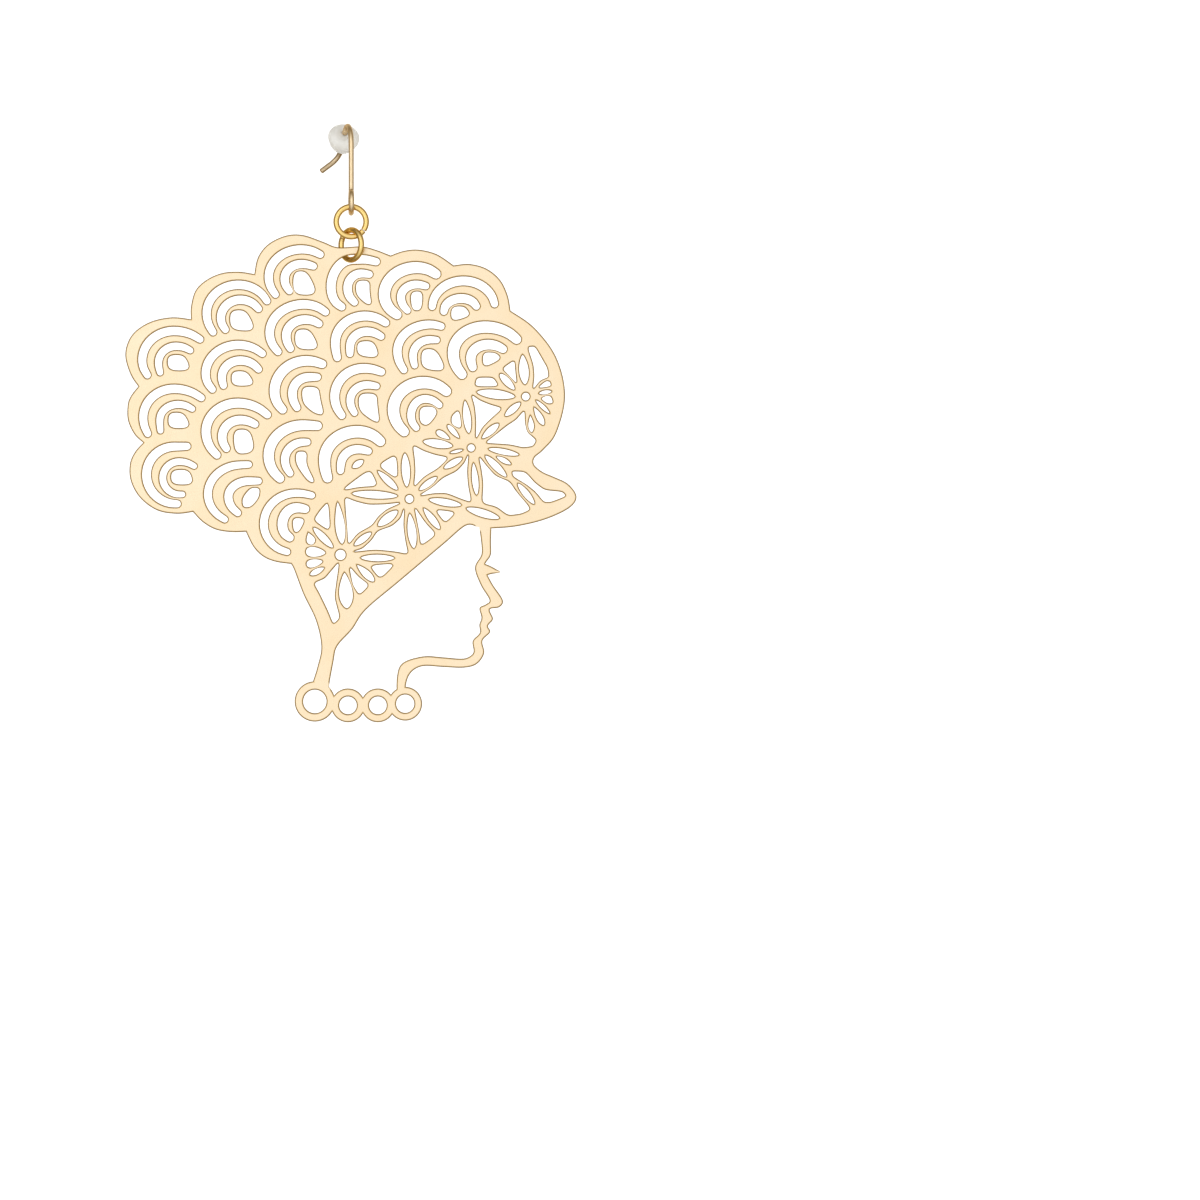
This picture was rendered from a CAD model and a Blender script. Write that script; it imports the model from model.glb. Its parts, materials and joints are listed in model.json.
# %% [markdown]
# # A fish hook earring with a large pierced plate
#
# The real earring is gold-plated brass: a bent ear wire with a soft stopper, two jump rings, and
# a thin sheet cut through in a pattern of hair scales and scarf flowers around a head in profile.
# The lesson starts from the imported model, which fixes every place and size, and gives each piece
# the surface that the eye expects: smooth bends, rounded and polished edges, satin gold, silicone.

import json
import math

import bpy
import numpy as np
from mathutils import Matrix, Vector
from mathutils.geometry import delaunay_2d_cdt


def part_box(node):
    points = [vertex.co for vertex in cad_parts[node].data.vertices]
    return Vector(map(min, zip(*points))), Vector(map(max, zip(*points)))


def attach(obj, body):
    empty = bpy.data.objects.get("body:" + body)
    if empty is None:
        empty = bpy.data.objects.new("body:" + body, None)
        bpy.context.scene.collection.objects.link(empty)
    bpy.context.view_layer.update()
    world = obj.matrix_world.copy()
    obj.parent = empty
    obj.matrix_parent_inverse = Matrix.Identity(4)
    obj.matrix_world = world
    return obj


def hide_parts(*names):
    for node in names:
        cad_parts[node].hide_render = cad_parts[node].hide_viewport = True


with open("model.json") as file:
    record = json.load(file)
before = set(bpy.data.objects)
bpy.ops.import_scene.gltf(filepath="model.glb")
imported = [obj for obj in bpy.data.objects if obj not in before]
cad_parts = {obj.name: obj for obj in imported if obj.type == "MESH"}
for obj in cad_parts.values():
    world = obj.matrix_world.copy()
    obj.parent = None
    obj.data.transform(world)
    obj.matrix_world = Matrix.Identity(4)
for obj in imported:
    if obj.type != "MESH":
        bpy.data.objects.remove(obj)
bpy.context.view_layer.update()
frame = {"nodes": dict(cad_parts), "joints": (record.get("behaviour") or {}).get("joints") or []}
MM = 0.001
joint_at = {j["name"]: np.array(j["pos_m"]) / MM for j in frame["joints"]}

# %% [markdown]
# ## From arrays to a mesh
#
# Every new piece is a surface worked out with numpy. Most of them are grids: rows along a path
# or an outline, columns around it. One helper turns points and faces into a piece that rides on
# its body, so each later cell only has to say where its points are. Lengths are millimetres until
# that last step, because that is how such a thing is measured at the bench.

# %% Put points and faces into a mesh
def make_piece(name, points_mm, quads, triangles, body, replaces, material):
    """A smooth piece in the row frame from points in millimetres and faces as index arrays."""
    mesh = bpy.data.meshes.new(name)
    corners = np.concatenate([quads.ravel(), triangles.ravel()]).astype(np.int32)
    sizes = np.concatenate([np.full(len(quads), 4), np.full(len(triangles), 3)])
    mesh.vertices.add(len(points_mm))
    mesh.vertices.foreach_set("co", (points_mm * MM).astype(np.float32).ravel())
    mesh.loops.add(len(corners))
    mesh.loops.foreach_set("vertex_index", corners)
    mesh.polygons.add(len(sizes))
    mesh.polygons.foreach_set("loop_start", (np.cumsum(sizes) - sizes).astype(np.int32))
    mesh.polygons.foreach_set("use_smooth", np.ones(len(sizes), bool))
    mesh.update(calc_edges=True)
    mesh.validate()
    mesh.materials.append(material)
    piece = bpy.data.objects.new(name, mesh)
    bpy.context.scene.collection.objects.link(piece)
    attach(piece, body)
    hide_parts(replaces)
    print(f"{name}: {len(points_mm)} points, {len(sizes)} faces")
    return piece


def grid_quads(rows, columns, close_rows=False):
    """Faces of a grid whose columns close into a ring, and its rows too where it asks for that."""
    row = np.arange(rows if close_rows else rows - 1)[:, None]
    column = np.arange(columns)[None, :]
    here, below = row * columns, (row + 1) % rows * columns
    beside = (column + 1) % columns
    corners = [here + column, here + beside, below + beside, below + column]
    return np.stack(corners, -1).reshape(-1, 4)


# %% [markdown]
# ## The finishes
#
# Three of the finishes are gold plate over brass. Plating is metal all over, so its colour sits in
# the reflection and its life comes from small things: clouds in the plating, the fine grain that
# rolling and polishing leave, and a darker, redder line where a rounded edge gathers the shade.
# That line is read from an attribute that the mesh carries, so it stays with the edge in any view.
# The stopper is silicone, which is clear in a thin film and milky in a lump, so most of its light
# comes back from inside.

# %% Helpers for shader nodes
def add(tree, kind, inputs=None, **settings):
    """A node of that kind, where each input is a plain value or a socket to link from."""
    node = tree.nodes.new(kind)
    for name, value in settings.items():
        setattr(node, name, value)
    for name, value in (inputs or {}).items():
        if isinstance(value, bpy.types.NodeSocket):
            tree.links.new(value, node.inputs[name])
        else:
            node.inputs[name].default_value = value
    return node


def mixed(tree, share, first, second):
    """The colour that is first where share is 0 and second where it is 1. A Mix node has sockets
    of the same names for every kind of data, so the ones for colour are called by number."""
    node = add(tree, "ShaderNodeMix", {0: share, 6: first, 7: second}, data_type="RGBA")
    return node.outputs[2]


def noise(tree, place, size_mm, detail, roughness=0.5):
    """Noise whose largest features are about that wide."""
    facts = {"Vector": place, "Scale": 1 / (size_mm * MM), "Detail": detail, "Roughness": roughness}
    return add(tree, "ShaderNodeTexNoise", facts).outputs["Fac"]


def spread(tree, value, low, high, least=0.3, most=0.7):
    """value, moved from the range where most of a noise lies to the range low to high."""
    ends = {"From Min": least, "From Max": most, "To Min": low, "To Max": high}
    return add(tree, "ShaderNodeMapRange", {"Value": value, **ends}).outputs["Result"]


def dent(tree, shader, height, depth_um, strength):
    """Lets a height shade the surface, as relief of that depth."""
    relief = {"Height": height, "Distance": depth_um * 1e-6, "Strength": strength}
    bump = add(tree, "ShaderNodeBump", relief)
    tree.links.new(bump.outputs["Normal"], shader.inputs["Normal"])


def new_finish(name):
    """A new material, its node tree and its shader."""
    material = bpy.data.materials.new(name)
    material.use_nodes = True
    return material, material.node_tree, material.node_tree.nodes["Principled BSDF"]


# %% Gold plate
def gold(name, colour, cloudy, edge, grazing, rough, grain_mm, grain_run, depth_um):
    """Gold plate: its colour, the colour of its clouds and of its edges, the tint of light that
    grazes it, the range of its roughness, and the width, the stretch along Z and the depth of
    its grain."""
    material, tree, shader = new_finish(name)
    place = add(tree, "ShaderNodeTexCoord").outputs["Object"]
    cloud_mm = 7.0
    clouds = noise(tree, place, cloud_mm, detail=3.0, roughness=0.55)
    run = add(tree, "ShaderNodeMapping", {"Vector": place, "Scale": (1.0, 1.0, 1.0 / grain_run)})
    grain = noise(tree, run.outputs["Vector"], grain_mm, detail=4.0)
    metal = mixed(tree, spread(tree, clouds, 0.0, 1.0), colour, cloudy)
    rim = add(tree, "ShaderNodeAttribute", attribute_name="edge").outputs["Fac"]
    tree.links.new(mixed(tree, rim, metal, edge), shader.inputs["Base Color"])
    tree.links.new(spread(tree, grain, *rough), shader.inputs["Roughness"])
    dent(tree, shader, grain, depth_um, strength=0.6)
    shader.inputs["Metallic"].default_value = 1.0
    shader.inputs["Specular Tint"].default_value = grazing
    print(name, "rough", rough)
    return material


plate_gold = gold("plate_gold", colour=(0.93, 0.78, 0.57, 1), cloudy=(0.92, 0.74, 0.50, 1),
                  edge=(0.50, 0.34, 0.13, 1), grazing=(0.60, 0.42, 0.24, 1), rough=(0.26, 0.33),
                  grain_mm=0.18, grain_run=6, depth_um=2)
ring_gold = gold("ring_gold", colour=(0.90, 0.66, 0.26, 1), cloudy=(0.86, 0.60, 0.20, 1),
                 edge=(0.75, 0.62, 0.42, 1), grazing=(0.62, 0.40, 0.15, 1), rough=(0.17, 0.28),
                 grain_mm=0.10, grain_run=1, depth_um=4)
wire_gold = gold("wire_gold", colour=(0.88, 0.71, 0.48, 1), cloudy=(0.84, 0.66, 0.41, 1),
                 edge=(0.08, 0.05, 0.03, 1), grazing=(0.66, 0.49, 0.30, 1), rough=(0.30, 0.42),
                 grain_mm=0.09, grain_run=3, depth_um=4)


# %% Silicone
def silicone(name):
    """Silicone that is mostly milk and a little glass, uneven where it left its mould."""
    material, tree, shader = new_finish(name)
    place = add(tree, "ShaderNodeTexCoord").outputs["Object"]
    skin_mm = 0.35
    milk_mm = 1.8
    scatter_mm = 0.8
    skin = noise(tree, place, skin_mm, detail=1.0)
    milk = spread(tree, noise(tree, place, milk_mm, detail=2.0), 0.0, 1.0)
    body = mixed(tree, milk, (0.87, 0.875, 0.86, 1), (0.82, 0.825, 0.81, 1))
    tree.links.new(body, shader.inputs["Base Color"])
    tree.links.new(spread(tree, skin, 0.28, 0.42), shader.inputs["Roughness"])
    dent(tree, shader, skin, depth_um=4, strength=0.5)
    shader.inputs["IOR"].default_value = 1.41
    shader.inputs["Transmission Weight"].default_value = 0.15
    shader.inputs["Subsurface Weight"].default_value = 0.35
    shader.inputs["Subsurface Radius"].default_value = (scatter_mm * MM,) * 3
    shader.inputs["Subsurface Scale"].default_value = 1.0
    print(name)
    return material


clear_silicone = silicone("clear_silicone")

# %% [markdown]
# ## The pierced plate
#
# On the real earring this is one piece of sheet, etched or cut by laser, tumbled until its edges
# are round, and plated. It could be made with a Bevel modifier on the CAD solid, but a bevel
# collides with itself where a bridge of metal is only a third of a millimetre wide. Here the
# outlines of all the gaps are read from the solid's front face, made finer, and a small rounded
# profile is carried along each of them. The profile shrinks where the metal gets narrow.

# %% Read the outlines from the front face
def front_outlines(node):
    """Points (x, z) in millimetres on the edges of a flat node's front face, and for each the
    index of the next one. The metal is always on the left of the way to the next point.
    An edge of the face is a side that only one of its triangles has."""
    mesh = frame["nodes"][node].data
    mesh.calc_loop_triangles()
    co = np.zeros(len(mesh.vertices) * 3, np.float32)
    mesh.vertices.foreach_get("co", co)
    co = co.reshape(-1, 3)
    triangles = np.zeros(len(mesh.loop_triangles) * 3, np.int32)
    mesh.loop_triangles.foreach_get("vertices", triangles)
    micrometres = np.round(co * 1e6).astype(np.int64)
    merged, same = np.unique(micrometres, axis=0, return_inverse=True)
    triangles = same.reshape(-1)[triangles].reshape(-1, 3)
    front = triangles[(merged[triangles][:, :, 1] == merged[:, 1].min()).all(1)]
    sides = np.concatenate([front[:, [0, 1]], front[:, [1, 2]], front[:, [2, 0]]])
    code = sides[:, 0] * len(merged) + sides[:, 1]
    back = sides[:, 1] * len(merged) + sides[:, 0]
    edge = sides[~np.isin(code, back)]
    used, index = np.unique(edge[:, 0], return_inverse=True)
    after = np.zeros(len(used), int)
    after[index.reshape(-1)] = np.searchsorted(used, edge[:, 1])
    return merged[used][:, [0, 2]] / 1000.0, after


outline, after = front_outlines("pendant")
print("outline points:", len(outline))

# %% [markdown]
# The solid is cut through in 121 gaps. It leaves twelve small ones of the scarf's flowers closed,
# which are at most 1.4 mm wide and 2.9 mm long. They are cut here, as petals and as small openings
# with soft corners, from short tables made by hand in the plate's own drawing, whose zero is the
# underside of the bridge on the ring.

# %% The small gaps
ring_wire_d = 0.9
link_gap = 0.12
plate_x = 0.16
plate_zero = np.array([plate_x, joint_at["plate_swing"][2] + ring_wire_d / 2 + link_gap])

# Columns: x and z of one tip, x and z of the other, width, share of the length where it is widest
SMALL_PETALS = np.array([
    [-6.45, -49.0, -4.35, -47.95, 0.85, 0.45],
    [15.1, -30.25, 17.0, -29.8, 0.4, 0.5],
    [14.7, -26.0, 16.45, -27.95, 0.75, 0.4],
    [13.0, -26.95, 14.95, -28.1, 0.9, 0.35],
    [22.25, -30.85, 24.4, -32.0, 0.7, 0.5],
    [28.75, -21.1, 30.65, -20.8, 0.6, 0.5],
    [28.3, -22.2, 30.35, -24.15, 0.55, 0.5],
    [27.4, -24.55, 27.6, -27.1, 0.85, 0.6],
    [0.05, -32.5, 1.7, -31.45, 0.95, 0.5],
])
# Corners of the small soft openings
SMALL_OPENINGS = [
    [[16.45, -23.6], [16.85, -26.6], [15.3, -25.9], [15.3, -24.6]],
    [[28.5, -20.3], [29.8, -19.2], [30.4, -19.3], [30.6, -20.0]],
    [[29.0, -21.9], [29.9, -21.45], [30.6, -21.6], [30.9, -22.6], [30.0, -22.65]],
]


def petal(row, steps=14, fullness=0.7):
    """Closed outline of a petal: along its axis t runs from tip to tip and back, and its half
    width is half the table's width times a sine of t to the power of fullness, where t is bent so
    that the sine peaks at the given share."""
    a, b, width, widest = row[:2], row[2:4], row[4], row[5]
    along = b - a
    across = np.array([-along[1], along[0]]) / np.hypot(*along)
    turn = np.arange(2 * steps) * math.pi / steps
    t = (1 - np.cos(turn)) / 2
    half = width / 2 * np.sin(math.pi * t ** (math.log(0.5) / math.log(widest))) ** fullness
    return a + t[:, None] * along + (np.sign(np.sin(turn)) * half)[:, None] * across


def soft_opening(corners, softness=0.8, steps=6):
    """Closed outline whose corners are replaced by parabolas. Each runs from the side before the
    corner to the side after it, over the share softness of the half sides."""
    p = np.array(corners)
    start = (p + (np.roll(p, 1, 0) - p) * softness / 2)[:, None]
    end = (p + (np.roll(p, -1, 0) - p) * softness / 2)[:, None]
    t = np.linspace(0, 1, steps)[None, :, None]
    rounded = start * (1 - t) ** 2 + p[:, None] * 2 * t * (1 - t) + end * t ** 2
    return rounded.reshape(-1, 2)


def with_gap(outline, after, gap):
    """The outlines and one more gap, turned so that the metal stays on the left."""
    x, z = gap.T
    if np.sum(x * np.roll(z, -1) - np.roll(x, -1) * z) > 0:
        gap = gap[::-1]
    ring = np.roll(np.arange(len(gap)), -1) + len(outline)
    return np.concatenate([outline, gap]), np.concatenate([after, ring])


# %% [markdown]
# The solid's curves are short straight runs. Each run gets one more point, on the cubic through
# its four neighbours. A neighbour beyond a true corner is not used: the curve is carried on from
# the points on its own side instead, so the notches between the scales stay sharp.

# %% Make the outlines finer
def length(v):
    """Length of each row, as a column."""
    return np.hypot(v[:, 0], v[:, 1])[:, None]


def previous(after):
    """The index of the point before each one, from the index of the one after it."""
    before = np.empty_like(after)
    before[after] = np.arange(len(after))
    return before


def finer(p, after, corner_deg=32):
    """One more point on each run: 9/16 of its two ends less 1/16 of the points beyond them,
    which are first drawn in to the run's own length."""
    there, back = p[after] - p, p[previous(after)] - p
    run = length(there)
    straight = -np.sum(there * back, 1) / (run * length(back))[:, 0]
    corner = (straight < math.cos(math.radians(corner_deg)))[:, None]
    beyond = p[after[after]] - p[after]
    a = p + back * np.minimum(1, run / length(back))
    d = p[after] + beyond * np.minimum(1, run / length(beyond))
    next_corner = corner[after]
    a_free = np.where(next_corner, 2 * p - p[after], 3 * p - 3 * p[after] + d)
    d_free = np.where(corner, 2 * p[after] - p, 3 * p[after] - 3 * p + a)
    a, d = np.where(corner, a_free, a), np.where(next_corner, d_free, d)
    middle = (9 * (p + p[after]) - a - d) / 16
    new = np.arange(len(p)) + len(p)
    return np.concatenate([p, middle]), np.concatenate([new, after])


outline, after = finer(outline, after)
for row in SMALL_PETALS:
    outline, after = with_gap(outline, after, petal(row) + plate_zero)
for corners in SMALL_OPENINGS:
    outline, after = with_gap(outline, after, soft_opening(corners) + plate_zero)
print("finer outline points:", len(outline))

# %% [markdown]
# How far the edge is rounded depends on how much metal there is. For each point the nearest point
# across the metal is found in one table of distances, and the rounding takes well under half of
# that bridge. A bridge thus ends up as a smooth half-round wire, as tumbling leaves it.

# %% Measure the metal at each point
edge_round = 0.23
bridge_share = 0.36


def into_metal(p, after, most_mitre=1.5):
    """Unit vector into the metal, and how much longer the way is where two runs meet at an angle:
    one over the sine of half that angle."""
    run_in, run_out = p - p[previous(after)], p[after] - p
    run_in, run_out = run_in / length(run_in), run_out / length(run_out)
    normal = np.stack([-(run_in + run_out)[:, 1], (run_in + run_out)[:, 0]], 1)
    normal = normal / np.maximum(length(normal), 1e-9)
    half_turn = normal[:, 0] * -run_out[:, 1] + normal[:, 1] * run_out[:, 0]
    return normal, np.minimum(1 / np.maximum(half_turn, 0.1), most_mitre)


def metal_width(p, normal, reach=1.2, cone=0.64):
    """Distance from each point to the nearest one that lies ahead of it, within 50 degrees of
    its normal, whose cosine is the cone. Points further than the reach do not count."""
    x, z = p.astype(np.float32).T
    dx, dz = x[None, :] - x[:, None], z[None, :] - z[:, None]
    apart = np.sqrt(dx * dx + dz * dz)
    ahead = dx * normal[:, :1].astype(np.float32) + dz * normal[:, 1:].astype(np.float32)
    return np.where(ahead > cone * np.maximum(apart, 1e-6), apart, reach).min(1)


normal, mitre = into_metal(outline, after)
width = metal_width(outline, normal)
rounding = np.minimum(edge_round, bridge_share * width)
rounding = np.minimum(rounding, (rounding[after] + rounding) / 2)
print("narrowest metal, mm:", round(float(width.min()), 3))
print("least rounding, mm:", round(float(rounding.min()), 3))

# %% [markdown]
# The section of the edge is a quarter round, a short straight wall and a second quarter round.
# It is a profile of ten points carried along every outline. The flat faces then only have to be
# filled between the inner edges of that band, which a constrained triangulation does with all of
# the gaps at once. Where two inner edges would cross, the rounding gives way.

# %% Fill between the outlines
def filled(p, after, merge_mm=1e-6, parts=16):
    """Triangles between the outlines, counterclockwise, and the points where outlines cross. All
    of the plane is triangulated with the outlines as fixed sides. A triangle is kept where a ray
    from its middle crosses the outlines an odd number of times. A crossing shows as a point that
    comes from none of the given ones, and then nothing is filled."""
    sides = np.stack([np.arange(len(p)), after], 1)
    corners = [tuple(v) for v in p.tolist()]
    verts, _, cells, source, _, _ = delaunay_2d_cdt(corners, sides.tolist(), [], 0, merge_mm, True)
    crossed = np.array([tuple(v) for v, ids in zip(verts, source) if not ids])
    if len(crossed):
        return None, crossed
    source = np.array([ids[0] for ids in source])
    cells = source[np.array([cell[:] for cell in cells])]
    middle = p[cells].mean(1)
    (x0, z0), (x1, z1) = p.T, p[after].T
    crossings = np.zeros(len(cells), int)
    for part in np.array_split(np.arange(len(cells)), parts):
        x, z = middle[part, 0, None], middle[part, 1, None]
        spans = (z0 > z) != (z1 > z)
        with np.errstate(divide="ignore", invalid="ignore"):
            crossings[part] = (spans & (x < x0 + (x1 - x0) * (z - z0) / (z1 - z0))).sum(1)
    cells = cells[crossings % 2 == 1]
    a, b, c = (p[cells[:, k]] for k in range(3))
    area = ((b - a)[:, 0] * (c - a)[:, 1] - (b - a)[:, 1] * (c - a)[:, 0]) / 2
    cells[area < 0] = cells[area < 0][:, ::-1]
    print("flat faces:", len(cells), "area, mm2:", round(float(abs(area).sum()), 1),
          "points merged by the fill:", len(p) - len(verts))
    return cells, crossed


# %% Give way where two rounded edges would cross
def without_crossings(p, after, normal, mitre, rounding, near_mm=0.6):
    """The rounding, halved around each place where the inner edges of the band cross, until none
    do, and the triangles between those inner edges."""
    while True:
        cells, crossed = filled(p + (rounding * mitre)[:, None] * normal, after)
        if not len(crossed):
            return rounding, cells
        print("rounding halved at", crossed.round(1).tolist())
        apart = np.hypot(*(p[:, None] - crossed[None]).transpose(2, 0, 1)).min(1)
        rounding = np.where(apart < near_mm, rounding / 2, rounding)


rounding, cells = without_crossings(outline, after, normal, mitre, rounding)


# %% Carry the edge along the outlines
BAND_TURNS = [0, 8, 35, 65, 90]


def plate_mesh(p, after, normal, mitre, rounding, cells, front_y, back_y):
    """Rows of the band: the point moved into the metal by rounding times (1 - sin q), and in
    depth by rounding times (1 - cos q), for q from 0 to 90 degrees at the front and back again
    at the back. In depth the rounding takes at most two fifths of the sheet on each side."""
    q = np.radians(BAND_TURNS)
    inwards = np.concatenate([1 - np.sin(q), 1 - np.sin(q[::-1])])
    deep = np.minimum(rounding, (back_y - front_y) * 0.4)
    front_rows = front_y + (1 - np.cos(q))[:, None] * deep
    rows_y = np.concatenate([front_rows, (front_y + back_y) - front_rows[::-1]])
    shift = (rounding * mitre)[:, None] * normal
    rows = p[None] + inwards[:, None, None] * shift[None]
    points = np.stack([rows[..., 0], rows_y, rows[..., 1]], -1)
    n, last = len(p), 2 * len(q) - 1
    row = np.arange(last)[:, None] * n
    i = np.arange(n)[None, :]
    band = np.stack([row + after[i], row + i, row + n + i, row + n + after[i]], -1).reshape(-1, 4)
    return points.reshape(-1, 3), band, cells, cells[:, ::-1] + last * n


low, high = (np.array(corner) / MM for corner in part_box("pendant"))
points, band, front, back = plate_mesh(outline, after, normal, mitre, rounding, cells,
                                       low[1], high[1])
plate = make_piece("plate", points, band, np.concatenate([front, back]), "drop",
                   "pendant", plate_gold)

# %% [markdown]
# The flat faces must shade flat, and the band smooth. The band also carries the attribute that
# the gold reads: nothing on the flats, most along the wall.

# %% Flat faces, smooth band, darker edge
def write_edge(piece, values):
    """The attribute that the gold reads, from 0 for clean plating to 1 for the darkest edge."""
    edge = piece.data.attributes.new("edge", "FLOAT", "POINT")
    edge.data.foreach_set("value", values.astype(np.float32))
    print(piece.name, "edge from", values.min(), "to", values.max())


smooth = np.arange(len(plate.data.polygons)) < len(band)
plate.data.polygons.foreach_set("use_smooth", smooth)
half_shades = np.array([0.0, 0.75, 1.0, 1.0, 1.0])
write_edge(plate, np.repeat(np.concatenate([half_shades, half_shades[::-1]]), len(outline)))

# %% [markdown]
# ## The wires
#
# The ear wire and the jump rings are drawn wire, bent round pegs. A curve object with a bevel
# would do it, but its ends stay flat and its rings bunch up in the bends. Here the path is worked
# out from the bender's own table, a straight run and then a bend to a row, and a circle is
# carried along it that never twists. The cut ends are filed a little round.

# %% A circle carried along a path
def wire(name, path, across, wire_d, body, replaces, material, worn,
         sides=32, file_share=0.4, fullness=0.6, tip_rows=6):
    """Tube round a path: each circle stands square to the path, and starts at the side that
    across names. At the tips its radius is r times cos q to the power of fullness, and it moves
    out by file_share times r times sin q, for q from 90 degrees to 0. worn is how far the plating
    has gone at each point of the path."""
    def with_tips(rows):
        """The rows, with the first and the last one repeated for the circles of the tips."""
        return np.concatenate([np.repeat(rows[:1], tip_rows, 0), rows[1:-1],
                               np.repeat(rows[-1:], tip_rows, 0)])

    r = wire_d / 2
    tangent = np.gradient(path, axis=0)
    tangent /= np.linalg.norm(tangent, axis=1)[:, None]
    q = np.linspace(math.pi / 2, 0, tip_rows + 1)[1:]
    swell = np.cos(q) ** fullness
    inwards = file_share * r - file_share * r * np.sin(q)
    level = np.zeros(len(path) - 2)
    along, side = with_tips(tangent), with_tips(across)
    shift = np.concatenate([inwards, level, -inwards[::-1]])
    centres = with_tips(path) + shift[:, None] * along
    radius = r * np.concatenate([swell, level + 1, swell[::-1]])
    side = side - np.sum(side * along, 1)[:, None] * along
    side /= np.linalg.norm(side, axis=1)[:, None]
    other = np.cross(along, side)
    turn = (np.arange(sides) * 2 * math.pi / sides)[None, :, None]
    circle = np.cos(turn) * side[:, None] + np.sin(turn) * other[:, None]
    rings = centres[:, None] + radius[:, None, None] * circle
    points = np.concatenate([rings.reshape(-1, 3), path[[0, -1]]])
    rows = len(centres)
    j = np.arange(sides)
    k = (j + 1) % sides
    last_row = (rows - 1) * sides
    start, end = np.full(sides, rows * sides), np.full(sides, rows * sides + 1)
    caps = np.concatenate([np.stack([k, j, start], 1),
                           np.stack([last_row + j, last_row + k, end], 1)])
    piece = make_piece(name, points, grid_quads(rows, sides), caps, body, replaces, material)
    write_edge(piece, np.concatenate([np.repeat(with_tips(worn), sides), worn[[0, -1]]]))
    return piece


# %% [markdown]
# ### The ear wire
#
# From the foot of its leg the wire runs up, over the crown and down through the ear, and kinks
# out at the end so that it does not slip back. Below the foot it turns into the closed eye that
# carries the rings. The whole hook is turned a little about the vertical, as it hangs in the
# photograph.

# %% Follow the bender's table
def untwist(towards, across, roll):
    """The direction that stood at towards before the wire was turned about itself by roll."""
    return math.cos(roll) * towards - math.sin(roll) * across


def follow(bends, at, heading, towards, step_mm=0.12, run_mm=0.5):
    """Points of a wire, and a side direction that is carried along without a twist. Each row of
    the table is a straight run, a turn about the wire, and the radius and angle of a bend. A bend
    goes from at along radius times (1 - cos q) towards its centre and radius times sin q ahead."""
    points, sides, rolled = [at[None]], [towards[None]], 0.0
    for run, roll, radius, angle in bends:
        across = np.cross(heading, towards)
        roll, angle = math.radians(roll), math.radians(angle)
        towards = math.cos(roll) * towards + math.sin(roll) * across
        across = np.cross(heading, towards)
        rolled += roll
        if run > 0:
            s = np.linspace(0, run, max(2, round(run / run_mm)))[1:, None]
            points.append(at + s * heading)
            sides.append(np.repeat(untwist(towards, across, rolled)[None], len(s), 0))
            at = at + run * heading
        if angle > 0:
            q = np.linspace(0, angle, max(3, round(radius * angle / step_mm)))[1:, None]
            points.append(at + radius * ((1 - np.cos(q)) * towards + np.sin(q) * heading))
            sides.append(untwist(np.cos(q) * towards - np.sin(q) * heading, across, rolled))
            at = points[-1][-1]
            heading, towards = (math.cos(angle) * heading + math.sin(angle) * towards,
                                math.cos(angle) * towards - math.sin(angle) * heading)
    return np.concatenate(points), np.concatenate(sides)


wire_d = 0.8
crown_r = 3.0
leg_h = 6.6
hook_turn = 14.0
eye_r = 1.65
eye_entry = 70.0
entry_share = math.cos(math.radians(eye_entry))
entry_r = eye_r * entry_share / (1 - entry_share)
eye_twist = 9.0
# The solid's eye stops 16 degrees sooner. Here it closes on the leg, as pliers leave it
eye_closes = 328.0
# Columns: straight run, turn about the wire, radius and angle of the bend
HOOK_BENDS = [[leg_h, 0, crown_r, 130], [3.9, 60, 2.6, 67], [2, 0, 0, 0]]
EYE_BENDS = [[0, eye_twist, entry_r, eye_entry], [0, 180, eye_r, eye_closes]]

up = np.array([0.0, 0.0, 1.0])
turned = math.radians(hook_turn)
backwards = np.array([-math.sin(turned), math.cos(turned), 0.0])
leg_foot = np.array([0.0, 0.0, wire_d / 2 - crown_r - leg_h])

hook_path, hook_side = follow(HOOK_BENDS, leg_foot, up, backwards)
eye_path, eye_side = follow(EYE_BENDS, leg_foot, -up, backwards)
path = np.concatenate([eye_path[:0:-1], hook_path])
side = np.concatenate([eye_side[:0:-1], hook_side])
print("ear wire, mm:", round(float(np.linalg.norm(np.diff(path, axis=0), axis=1).sum()), 1))

# %% [markdown]
# The plating is thin on the tail, which rubs in the ear each time. Polish has left a dark speck
# where the eye's end meets the leg. Both are written along the path, so they stay with the wire.

# %% Where the ear wire is worn
tail_wear = 0.3
tail_starts_y = 6.2
tail_fade = 1.5
speck_mm = 0.15
speck_edge = 1.5
on_tail = np.clip((path[:, 1] - tail_starts_y) / tail_fade, 0, 1)
from_tip = np.linalg.norm(path - path[0], axis=1)
past_tip = np.arange(len(path)) > len(eye_path) / 2
speck = np.where(past_tip, 0, np.clip(speck_edge - from_tip / speck_mm, 0, 1))
wire("ear_wire", path, side, wire_d, "hook", "ear_hook", wire_gold,
     np.maximum(tail_wear * on_tail, speck))


# %% [markdown]
# ### The jump rings
#
# A jump ring is one turn of a coil, sawn off and closed with two pliers. Its ends meet with a
# hair's gap, never quite in line. The upper ring faces the viewer and the lower one is turned
# halfway, because it has to pass through both the ring above and the sheet. The lower ring's cut
# is closed tighter, so that it clears the upper ring as far as the two swing.

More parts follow.
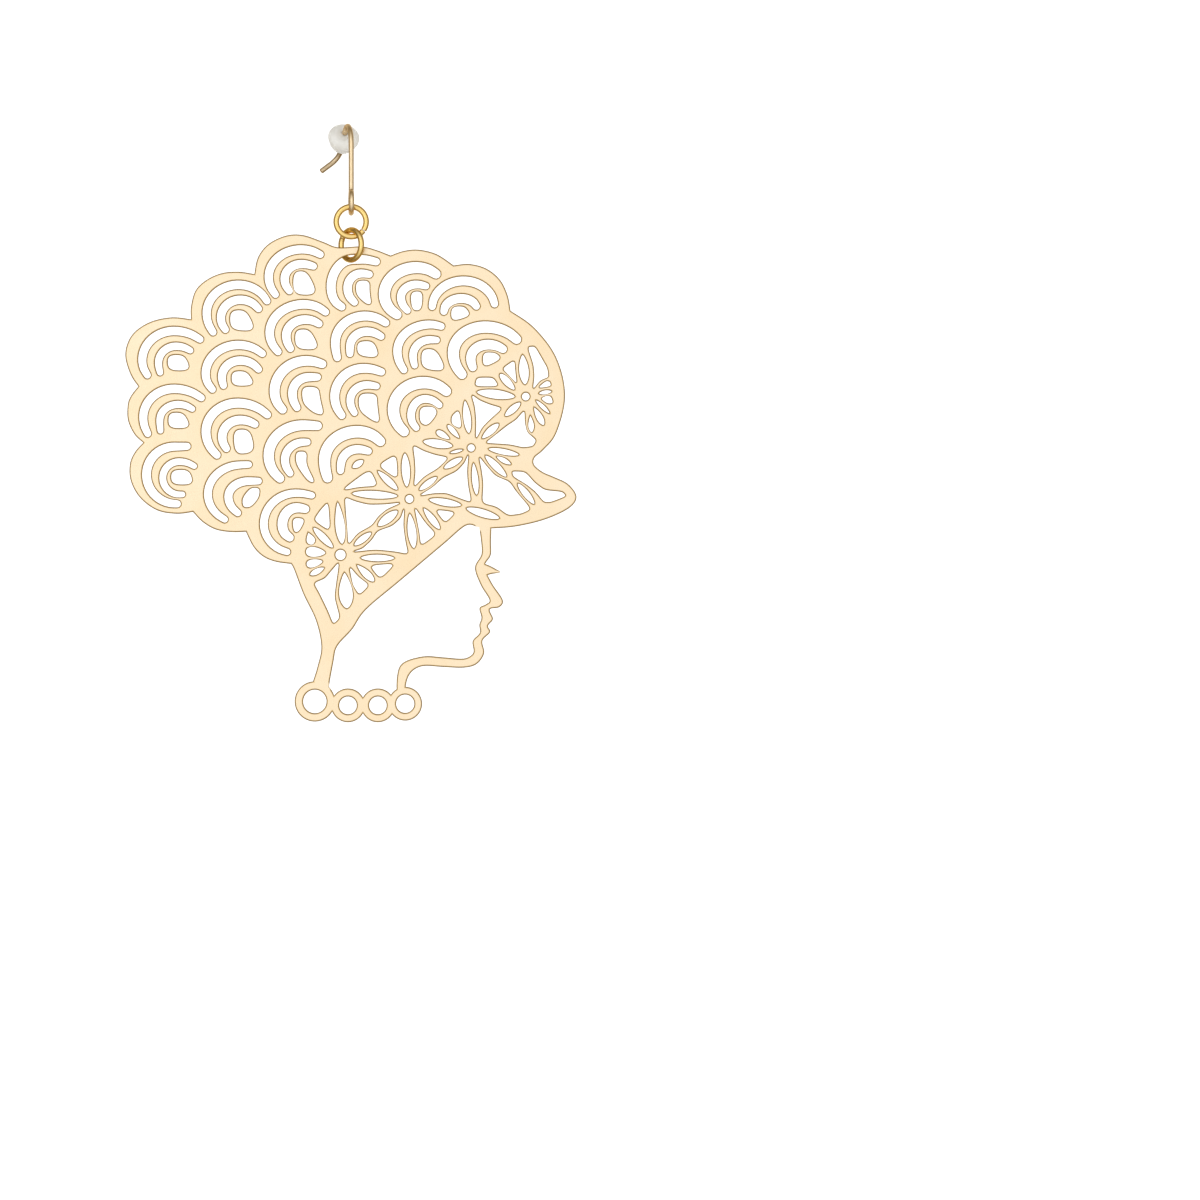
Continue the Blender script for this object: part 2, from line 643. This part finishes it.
# %% One turn of wire
def jump_ring(name, foot, turned, cut, body, replaces,
              ring_r=2.3, saw_cut=0.05, step=0.06, points=120, near_cut=15):
    """A circle above its foot, in an upright plane that is turned about Z. Its ends stand step
    apart, square to that plane: half of step times s to the power of near_cut, for s from -1 at
    one end to 1 at the other, so that nearly all of it is close to the cut."""
    cut, turned = math.radians(cut), math.radians(turned)
    gap = saw_cut / ring_r
    q = np.linspace(cut + gap / 2, cut + 2 * math.pi - gap / 2, points)
    aside = step / 2 * np.linspace(-1, 1, points) ** near_cut
    across = np.array([math.cos(turned), math.sin(turned), 0.0])
    outwards = np.cos(q)[:, None] * across + np.sin(q)[:, None] * up
    path = foot + ring_r * up + ring_r * outwards + aside[:, None] * np.cross(across, up)
    return wire(name, path, outwards, ring_wire_d, body, replaces, ring_gold,
                np.zeros(len(path)), file_share=0.15)


jump_ring("top_ring", joint_at["link_swing"], 0, -35, "top_link", "upper_ring")
jump_ring("bottom_ring", joint_at["plate_swing"], -45, 150, "bottom_link", "lower_ring",
          saw_cut=0.02, step=0.01)

# %% [markdown]
# ## The stopper
#
# A soft silicone bullet grips the wire behind the ear. It is moulded, so it is a figure of
# revolution: a rounded flange, a shallow waist, and a nose that tapers to the wire. Its outline
# is a smooth curve through a few points, closed along the hole, and turned about the wire.

# %% A figure of revolution on the back leg
stopper_r = 2.45
stopper_l = 3.6
hole_r = wire_d / 2 + 0.05
# Columns: share of the radius, share of the length
STOPPER_SIDE = np.array([
    [0.30, 0.02], [0.52, 0.008], [0.74, 0.035], [0.89, 0.10], [0.97, 0.20], [0.995, 0.30],
    [0.975, 0.40], [0.92, 0.50], [0.865, 0.60], [0.79, 0.71], [0.67, 0.83], [0.54, 0.93],
    [0.44, 0.985], [0.34, 0.98],
])
hole_rows = 6


def smooth_through(p, steps=5):
    """Points on a curve, open at both ends: from b to c it is the cubic that leaves along c - a
    and arrives along d - b, where a and d are the neighbours beyond."""
    ends = np.vstack([p[:1], p, p[-1:]])[:, None]
    a, b, c, d = ends[:-3], ends[1:-2], ends[2:-1], ends[3:]
    t = np.linspace(0, 1, steps, endpoint=False)[None, :, None]
    bend = t ** 2 * (2 * a - 5 * b + 4 * c - d) + t ** 3 * (3 * b - a - 3 * c + d)
    curve = b + (t * (c - a) + bend) / 2
    return np.vstack([curve.reshape(-1, 2), p[-1:]])


def revolve(name, section, foot, axis, aside, body, replaces, material, sides=72):
    """A closed section of radius and height turned about an axis: rows follow the section."""
    turn = np.arange(sides) * 2 * math.pi / sides
    around = np.cos(turn)[:, None] * aside + np.sin(turn)[:, None] * np.cross(axis, aside)
    points = foot + section[:, :1, None] * around[None] + section[:, 1:, None] * axis
    return make_piece(name, points.reshape(-1, 3), grid_quads(len(section), sides, close_rows=True),
                      np.zeros((0, 3), int), body, replaces, material)


crown_end = math.radians(HOOK_BENDS[0][3])
leg_top = leg_foot + leg_h * up
back_leg_at = leg_top + crown_r * ((1 - math.cos(crown_end)) * backwards + math.sin(crown_end) * up)
back_leg_way = math.cos(crown_end) * up + math.sin(crown_end) * backwards
back_leg_side = math.cos(crown_end) * backwards - math.sin(crown_end) * up
hole_ends = (0.97, 0.03)
hole = np.stack([np.full(hole_rows, hole_r), np.linspace(*hole_ends, hole_rows) * stopper_l], 1)
section = np.vstack([smooth_through(STOPPER_SIDE * [stopper_r, stopper_l]), hole])
foot = back_leg_at + back_leg_way * (HOOK_BENDS[1][0] - stopper_l) / 2
revolve("soft_stopper", section, foot, back_leg_way, back_leg_side, "hook", "stopper",
        clear_silicone)

# %% [markdown]
# ## The studio
#
# The photograph is a product shot on pure white, with no shadow. A round white cove stands about
# the earring, floor and wall in one, and glows, so it is as white from the side and from behind.
# A bent sheet with lamps on it is the usual way, but it ends at its sides. Only the camera and
# the clear part of the silicone see the cove. It has a middling colour of its own under the glow.
# With a black one, and more glow to keep the white, the stopper came out speckled in a test
# render, though the metal did not. Why was not traced.

# %% The cove
def cove(radius=2.0, floor_z=-0.45, bend=0.5, top=2.4, pole=0.01, steps=16, sides=96):
    """Turned about Z: a disc of floor, a quarter circle and an upright wall."""
    q = np.linspace(0, math.pi / 2, steps)
    r = np.concatenate([[pole], radius - bend + bend * np.sin(q), [radius]])[:, None]
    z = np.concatenate([[floor_z], floor_z + bend - bend * np.cos(q), [top]])[:, None]
    turn = (np.arange(sides) * 2 * math.pi / sides)[None, :]
    points = np.stack([r * np.cos(turn), r * np.sin(turn), np.repeat(z, sides, 1)], -1)
    faces = grid_quads(len(r), sides).tolist() + [list(range(sides))]
    mesh = bpy.data.meshes.new("cove")
    mesh.from_pydata(points.reshape(-1, 3).tolist(), [], faces)
    mesh.polygons.foreach_set("use_smooth", np.ones(len(mesh.polygons), bool))
    material, _, shader = new_finish("cove_white")
    shader.inputs["Base Color"].default_value = (0.5, 0.5, 0.5, 1)
    shader.inputs["Roughness"].default_value = 0.9
    shader.inputs["Specular IOR Level"].default_value = 0.0
    shader.inputs["Emission Color"].default_value = (1, 1, 1, 1)
    shader.inputs["Emission Strength"].default_value = 0.8
    material.cycles.emission_sampling = "NONE"
    mesh.materials.append(material)
    obj = bpy.data.objects.new("cove", mesh)
    bpy.context.scene.collection.objects.link(obj)
    obj.visible_glossy = False
    obj.visible_diffuse = False
    obj.visible_shadow = False
    print("cove:", len(faces), "faces")


cove()

# %% [markdown]
# Polished metal shows what is around it, so the surroundings matter more than the lamps. In place
# of the cove the metal sees a field that is bright in front and behind and dim at the sides. The
# flats face the bright part, and the rounded edges and the wires get their darker lines from the
# dim one. The field could be a picture of a studio, but a ramp over one direction is enough.

# %% The surroundings and the lamps
world = bpy.data.worlds.new("studio")
world.use_nodes = True
bpy.context.scene.world = world
tree = world.node_tree
way = add(tree, "ShaderNodeTexCoord").outputs["Generated"]
split = add(tree, "ShaderNodeSeparateXYZ", {"Vector": way})
depth = add(tree, "ShaderNodeMapRange",
            {"Value": split.outputs["Y"], "From Min": -1.0, "From Max": 1.0})
field = add(tree, "ShaderNodeValToRGB", {"Fac": depth.outputs["Result"]})
field.color_ramp.interpolation = "B_SPLINE"
# Columns: share of the way from front to back, brightness in red, green and blue
FIELD = [
    (0.00, 1.0, 0.99, 0.97), (0.16, 0.97, 0.96, 0.94), (0.36, 0.24, 0.18, 0.08),
    (0.60, 0.17, 0.12, 0.045), (0.75, 0.42, 0.38, 0.30), (0.88, 0.95, 0.94, 0.92),
    (1.00, 1.0, 0.99, 0.97),
]
stops = field.color_ramp.elements
while len(stops) < len(FIELD):
    stops.new(0.5)
for stop, (share, *bright) in zip(stops, FIELD):
    stop.position = share
    stop.color = (*bright, 1)
tree.links.new(field.outputs["Color"], tree.nodes["Background"].inputs["Color"])
tree.nodes["Background"].inputs["Strength"].default_value = 1.05
print("field stops:", len(stops))


def softbox(name, at, aim, width, height, watts, mirrored=True):
    """A rectangular area lamp at a place, turned towards another. Unless it is mirrored, the gold
    does not show it and it is not seen through the silicone."""
    lamp = bpy.data.lights.new(name, "AREA")
    lamp.shape = "RECTANGLE"
    lamp.size = width
    lamp.size_y = height
    lamp.energy = watts
    obj = bpy.data.objects.new(name, lamp)
    bpy.context.scene.collection.objects.link(obj)
    obj.visible_glossy = mirrored
    obj.visible_transmission = mirrored
    obj.location = at
    obj.rotation_euler = (Vector(aim) - Vector(at)).to_track_quat("-Z", "Y").to_euler()
    print(name, watts, "W")


middle = (0, 0, -0.05)
softbox("key", (-0.36, -0.85, 0.15), middle, 0.22, 0.9, 0.7)
softbox("fill", (0.42, -0.85, 0.05), middle, 0.14, 0.8, 0.35)
# These three light only what scatters light, the silicone, and leave no mark on the gold
softbox("milk_left", (-0.8, -0.3, -0.35), middle, 0.8, 0.8, 3.2, mirrored=False)
softbox("milk_right", (0.8, -0.3, -0.35), middle, 0.8, 0.8, 3.2, mirrored=False)
softbox("milk_top", (0.0, -0.1, 0.9), middle, 0.8, 0.8, 2.0, mirrored=False)

# %% [markdown]
# ## The camera
#
# The photograph's frame is 1200 pixels square at 6.5 pixels to the millimetre, and the inside
# top of the ear wire stands at pixel (351.2, 127.2). The camera looks straight at the middle of
# that frame from 0.8 m, so it sees the earring a little from the right and from below.

# %% The camera
frame_px = 1200
px_per_mm = 6.5
origin_px = (351.2, 127.2)
distance_mm = 800.0
view_mm = frame_px / px_per_mm
middle_x = (frame_px / 2 - origin_px[0]) / px_per_mm
middle_z = (origin_px[1] - frame_px / 2) / px_per_mm

camera_data = bpy.data.cameras.new("camera")
camera_data.sensor_width = 36.0
camera_data.lens = camera_data.sensor_width * distance_mm / view_mm
camera_data.clip_start = 0.05
camera = bpy.data.objects.new("camera", camera_data)
camera.location = (middle_x * MM, -distance_mm * MM, middle_z * MM)
camera.rotation_euler = (math.pi / 2, 0, 0)
bpy.context.scene.collection.objects.link(camera)
bpy.context.scene.camera = camera
bpy.context.scene.view_settings.view_transform = "Standard"
print("lens, mm:", round(camera_data.lens, 1))
